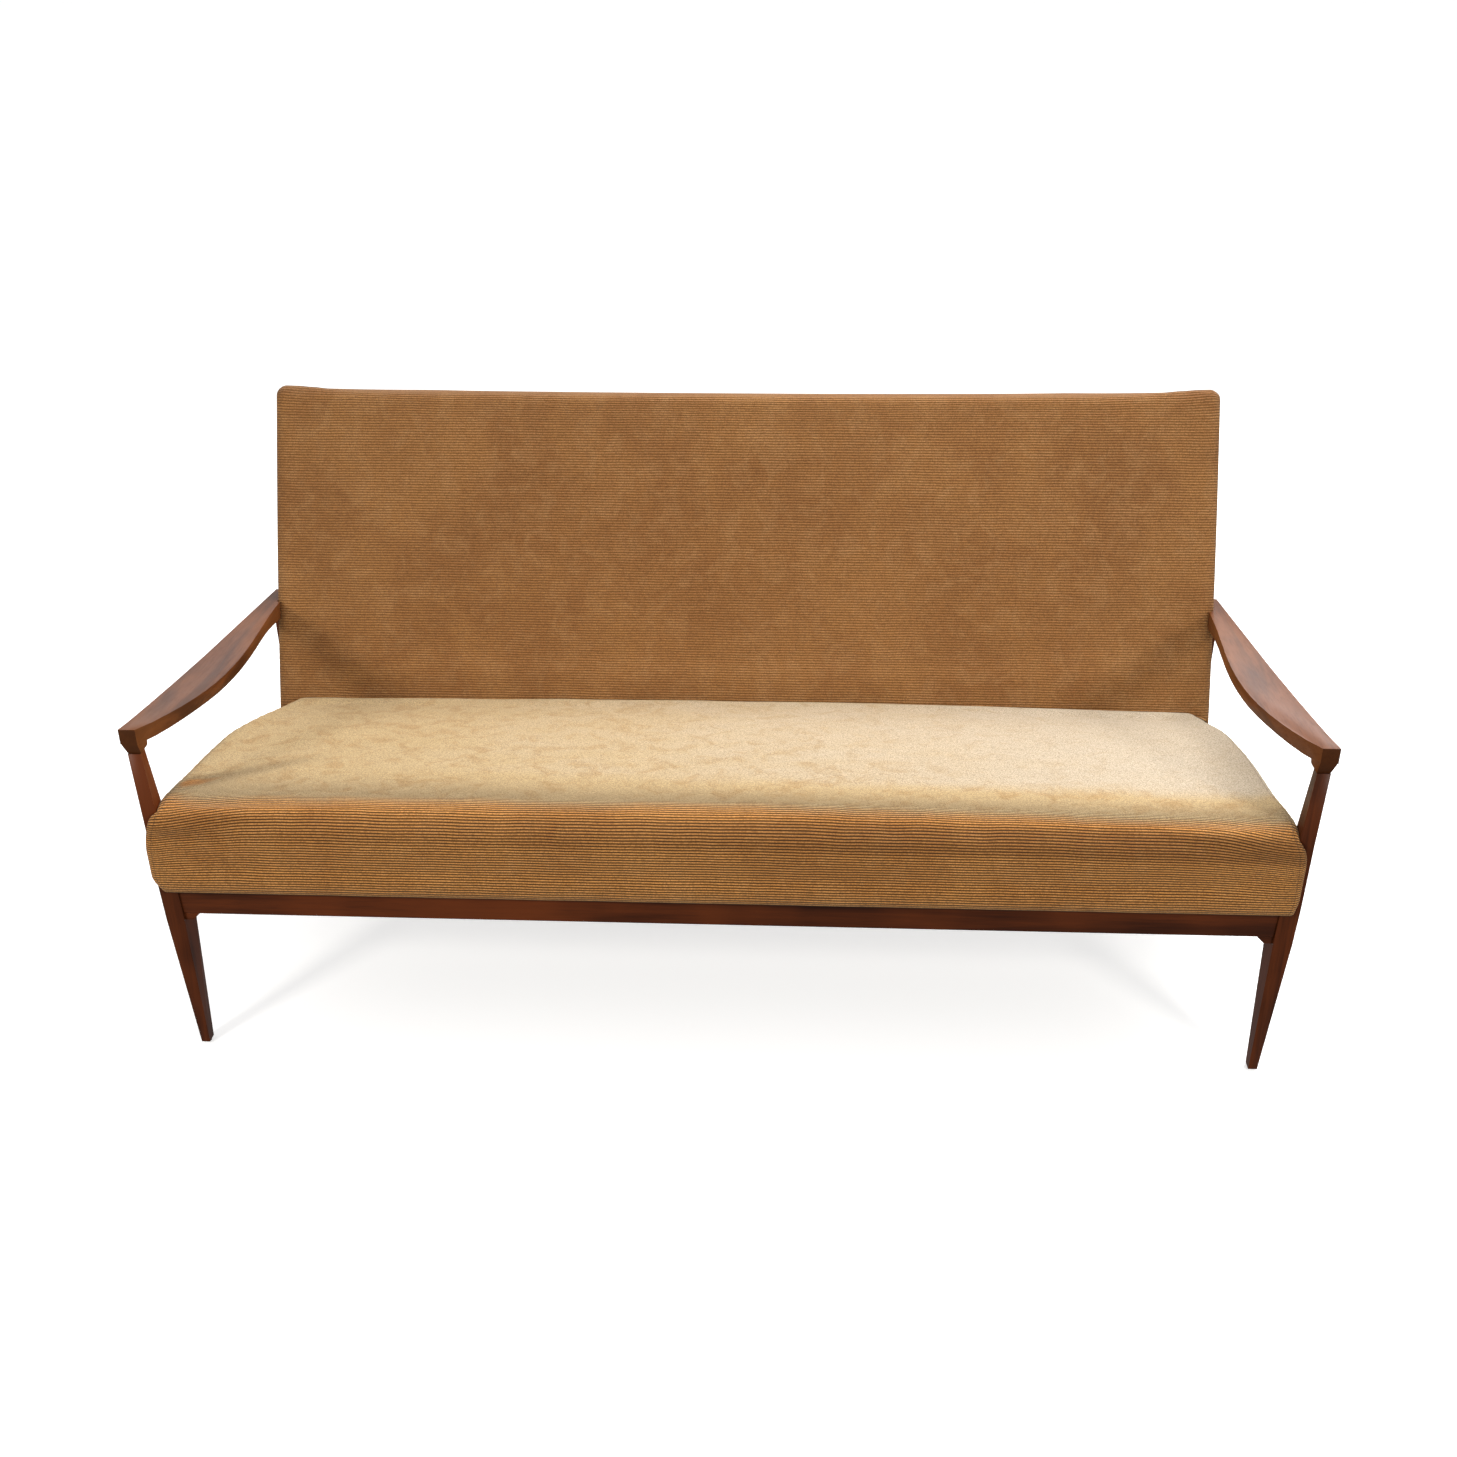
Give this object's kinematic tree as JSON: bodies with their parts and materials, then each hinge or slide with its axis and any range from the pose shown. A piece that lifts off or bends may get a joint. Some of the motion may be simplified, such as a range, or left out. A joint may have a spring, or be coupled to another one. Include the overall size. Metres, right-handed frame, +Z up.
{
  "type": "three-seat sofa",
  "caption": "Low lounge sofa: sculpted walnut-stained frame with leaf-shaped sloping armrests and tapered legs, an upholstered seat box and a leaning upholstered back panel in fine corduroy.",
  "frame": {"origin": "floor level under the middle of the whole sofa, at the centre of its bounding box", "axes": "+X along the width to the right-hand side as seen from the front, -Y towards the front of the seat, +Z up"},
  "size_m": [1.8, 0.8438, 0.8826],
  "materials": {
    "walnut_wood": "walnut-stained hardwood under satin lacquer",
    "beech": "plain planed beech",
    "pine": "sawn softwood, unfinished",
    "glide": "moulded nylon",
    "zinc_steel": "zinc-plated steel",
    "hessian": "open jute weave",
    "padding": null,
    "corduroy": "golden-brown corduroy with fine wales running across the width",
    "rear_cloth": "the same corduroy, stretched flat over the rear",
    "dust_cloth": "black spun-bonded cloth",
    "webbing": "woven elastic strap"
  },
  "bodies": {
    "root": {"front_leg_left": "walnut_wood", "front_leg_right": "walnut_wood", "rear_leg_left": "walnut_wood", "rear_leg_right": "walnut_wood", "armrest_left": "walnut_wood", "armrest_right": "walnut_wood", "front_rail": "walnut_wood", "rear_rail": "walnut_wood", "side_rail_left": "walnut_wood", "side_rail_right": "walnut_wood", "seat_bearer_rail": "beech", "back_bearer_rail": "beech", "back_cross_rail": "walnut_wood", "rail_wedges": "walnut_wood", "corner_blocks": "pine", "front_rail_dowels": "beech", "rear_rail_dowels": "beech", "side_rail_dowels": "beech", "bearer_dowels": "beech", "back_rail_dowels": "beech", "armrest_dowels": "beech", "leg_glides": "glide", "seat_frame_front": "pine", "seat_frame_rear": "pine", "seat_frame_left": "pine", "seat_frame_right": "pine", "seat_frame_spreaders": "pine", "seat_springs": "zinc_steel", "spring_clips": "zinc_steel", "seat_hessian": "hessian", "seat_padding": "padding", "seat_cover": "corduroy", "seat_dust_cover": "dust_cloth", "seat_screws": "zinc_steel", "back_frame_top": "pine", "back_frame_bottom": "pine", "back_frame_left": "pine", "back_frame_right": "pine", "back_frame_studs": "pine", "back_webbing": "webbing", "back_hessian": "hessian", "back_padding": "padding", "back_cover": "corduroy", "back_rear_cloth": "rear_cloth", "back_bolts": "zinc_steel", "back_washers": "zinc_steel", "back_tee_nuts": "zinc_steel", "back_foot_screws": "zinc_steel"}
  },
  "joints": []
}
